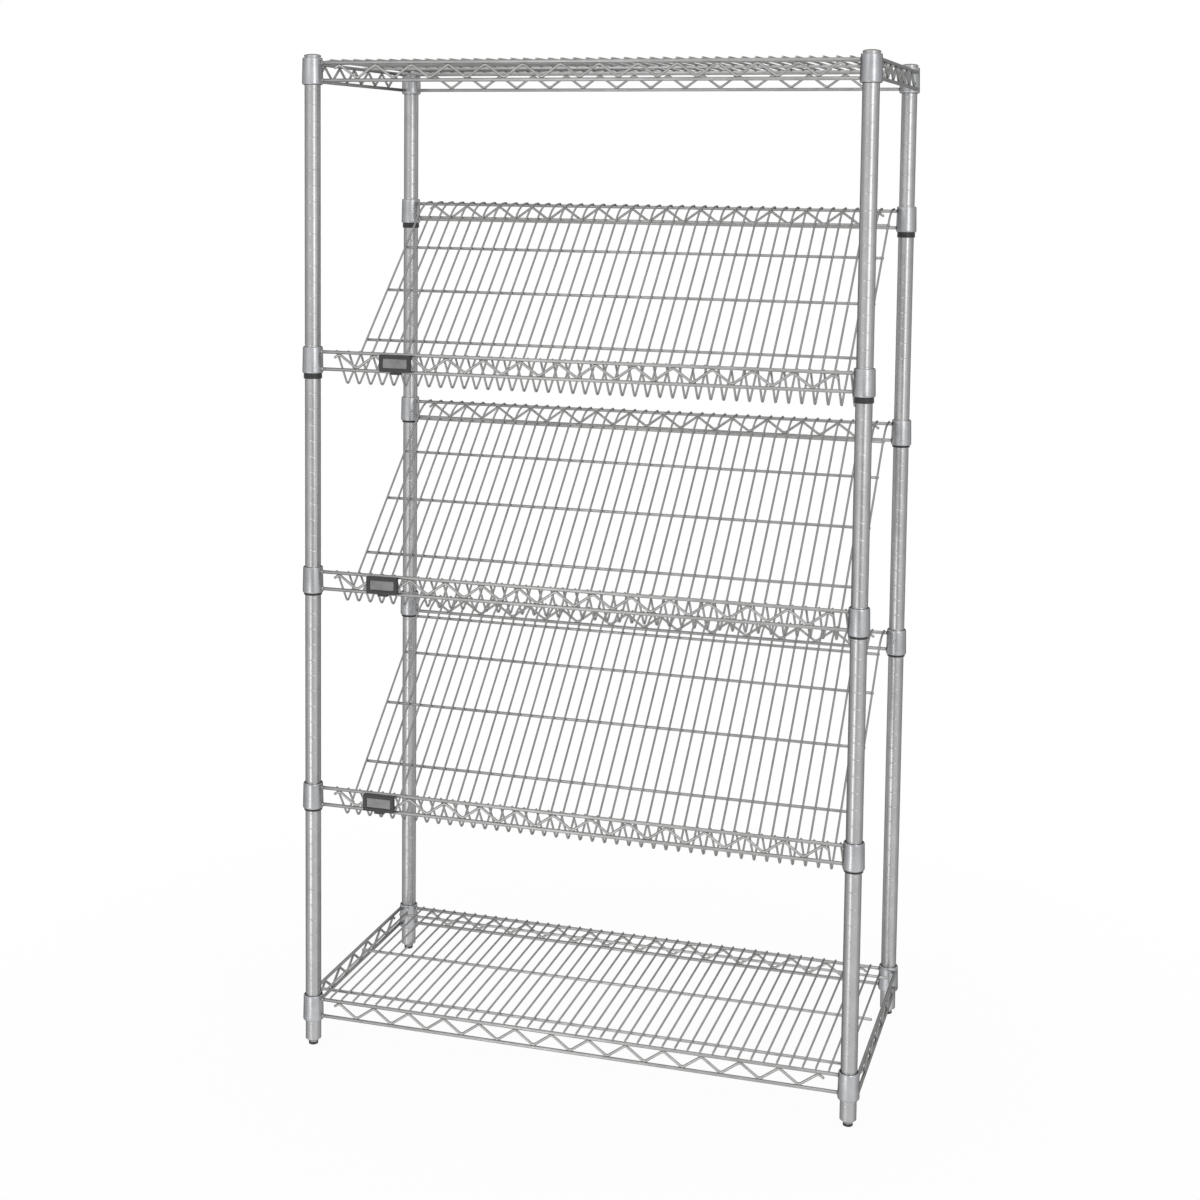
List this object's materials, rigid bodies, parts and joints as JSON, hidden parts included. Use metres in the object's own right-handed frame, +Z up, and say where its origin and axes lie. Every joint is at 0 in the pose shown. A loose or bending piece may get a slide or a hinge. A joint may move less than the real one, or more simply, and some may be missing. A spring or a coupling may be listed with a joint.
{
  "type": "bakery bread rack",
  "caption": "Free-standing chrome wire bread rack: flat shelves at top and bottom, slanted shelves with a front lip between, on grooved posts with levelling feet.",
  "frame": {"origin": "on the floor under the middle of the rack", "axes": "+X to the right of a shopper facing the front, +Y towards the back, +Z up"},
  "size_m": [0.9144, 0.4572, 1.614],
  "materials": {
    "post_chrome": "bright plated, slightly brushed along the post",
    "cap_chrome": "bright plated",
    "collar_chrome": "bright plated, satin",
    "wire_chrome": "bright plated",
    "sleeve_plastic": "satin black",
    "insert_plastic": "matte black",
    "stud_steel": "zinc plated",
    "glide_plastic": "matte black",
    "label_plastic": "satin dark grey",
    "label_card": "blank grey card behind clear film"
  },
  "bodies": {
    "frame": {"front_left_post": "post_chrome", "front_left_post_cap": "cap_chrome", "front_left_foot_insert": "insert_plastic", "front_right_post": "post_chrome", "front_right_post_cap": "cap_chrome", "front_right_foot_insert": "insert_plastic", "rear_left_post": "post_chrome", "rear_left_post_cap": "cap_chrome", "rear_left_foot_insert": "insert_plastic", "rear_right_post": "post_chrome", "rear_right_post_cap": "cap_chrome", "rear_right_foot_insert": "insert_plastic", "bottom_shelf_sleeves": "sleeve_plastic", "lower_slanted_shelf_sleeves": "sleeve_plastic", "middle_slanted_shelf_sleeves": "sleeve_plastic", "upper_slanted_shelf_sleeves": "sleeve_plastic", "top_shelf_sleeves": "sleeve_plastic"},
    "bottom_shelf": {"bottom_shelf_collars": "collar_chrome", "bottom_shelf_long_rails": "wire_chrome", "bottom_shelf_side_rails": "wire_chrome", "bottom_shelf_snakes": "wire_chrome", "bottom_shelf_mat_wires": "wire_chrome", "bottom_shelf_cross_wires": "wire_chrome"},
    "lower_slanted_shelf": {"lower_slanted_shelf_collars": "collar_chrome", "lower_slanted_shelf_rails": "wire_chrome", "lower_slanted_shelf_snakes": "wire_chrome", "lower_slanted_shelf_mat_wires": "wire_chrome", "lower_slanted_shelf_cross_wires": "wire_chrome", "lower_slanted_shelf_label_holder": "label_plastic", "lower_slanted_shelf_label_card": "label_card"},
    "middle_slanted_shelf": {"middle_slanted_shelf_collars": "collar_chrome", "middle_slanted_shelf_rails": "wire_chrome", "middle_slanted_shelf_snakes": "wire_chrome", "middle_slanted_shelf_mat_wires": "wire_chrome", "middle_slanted_shelf_cross_wires": "wire_chrome", "middle_slanted_shelf_label_holder": "label_plastic", "middle_slanted_shelf_label_card": "label_card"},
    "upper_slanted_shelf": {"upper_slanted_shelf_collars": "collar_chrome", "upper_slanted_shelf_rails": "wire_chrome", "upper_slanted_shelf_snakes": "wire_chrome", "upper_slanted_shelf_mat_wires": "wire_chrome", "upper_slanted_shelf_cross_wires": "wire_chrome", "upper_slanted_shelf_label_holder": "label_plastic", "upper_slanted_shelf_label_card": "label_card"},
    "top_shelf": {"top_shelf_collars": "collar_chrome", "top_shelf_long_rails": "wire_chrome", "top_shelf_side_rails": "wire_chrome", "top_shelf_snakes": "wire_chrome", "top_shelf_mat_wires": "wire_chrome", "top_shelf_cross_wires": "wire_chrome"},
    "front_left_glide": {"front_left_foot_glide": "glide_plastic"},
    "front_left_stud": {"front_left_foot_stud": "stud_steel"},
    "front_right_glide": {"front_right_foot_glide": "glide_plastic"},
    "front_right_stud": {"front_right_foot_stud": "stud_steel"},
    "rear_left_glide": {"rear_left_foot_glide": "glide_plastic"},
    "rear_left_stud": {"rear_left_foot_stud": "stud_steel"},
    "rear_right_glide": {"rear_right_foot_glide": "glide_plastic"},
    "rear_right_stud": {"rear_right_foot_stud": "stud_steel"}
  },
  "joints": [
    {"name": "bottom_shelf_lift", "type": "slide", "parent": "frame", "child": "bottom_shelf", "axis": [0, 0, 1], "range_m": [0, 0.254]},
    {"name": "lower_slanted_shelf_lift", "type": "slide", "parent": "frame", "child": "lower_slanted_shelf", "axis": [0, 0, 1], "range_m": [0, 0.2794]},
    {"name": "middle_slanted_shelf_lift", "type": "slide", "parent": "frame", "child": "middle_slanted_shelf", "axis": [0, 0, 1], "range_m": [0, 0.2794]},
    {"name": "upper_slanted_shelf_lift", "type": "slide", "parent": "frame", "child": "upper_slanted_shelf", "axis": [0, 0, 1], "range_m": [0, 0.1524]},
    {"name": "top_shelf_lift", "type": "slide", "parent": "frame", "child": "top_shelf", "axis": [0, 0, 1], "range_m": [0, 0.1016]},
    {"name": "front_left_glide_drop", "type": "slide", "parent": "frame", "child": "front_left_glide", "axis": [0, 0, -1], "range_m": [0, 0.02]},
    {"name": "front_left_stud_turn", "type": "hinge", "parent": "front_left_glide", "child": "front_left_stud", "pos_m": [-0.4404, -0.2118, 0.02], "axis": [0, 0, -1], "range_deg": [0, 4535.5]},
    {"name": "front_right_glide_drop", "type": "slide", "parent": "frame", "child": "front_right_glide", "axis": [0, 0, -1], "range_m": [0, 0.02]},
    {"name": "front_right_stud_turn", "type": "hinge", "parent": "front_right_glide", "child": "front_right_stud", "pos_m": [0.4404, -0.2118, 0.02], "axis": [0, 0, -1], "range_deg": [0, 4535.5]},
    {"name": "rear_left_glide_drop", "type": "slide", "parent": "frame", "child": "rear_left_glide", "axis": [0, 0, -1], "range_m": [0, 0.02]},
    {"name": "rear_left_stud_turn", "type": "hinge", "parent": "rear_left_glide", "child": "rear_left_stud", "pos_m": [-0.4404, 0.2118, 0.02], "axis": [0, 0, -1], "range_deg": [0, 4535.5]},
    {"name": "rear_right_glide_drop", "type": "slide", "parent": "frame", "child": "rear_right_glide", "axis": [0, 0, -1], "range_m": [0, 0.02]},
    {"name": "rear_right_stud_turn", "type": "hinge", "parent": "rear_right_glide", "child": "rear_right_stud", "pos_m": [0.4404, 0.2118, 0.02], "axis": [0, 0, -1], "range_deg": [0, 4535.5]}
  ],
  "couplings": [
    {"joint": "front_left_stud_turn", "follows": "front_left_glide_drop", "rad_per_m": 3957.9},
    {"joint": "front_right_stud_turn", "follows": "front_right_glide_drop", "rad_per_m": 3957.9},
    {"joint": "rear_left_stud_turn", "follows": "rear_left_glide_drop", "rad_per_m": 3957.9},
    {"joint": "rear_right_stud_turn", "follows": "rear_right_glide_drop", "rad_per_m": 3957.9}
  ]
}
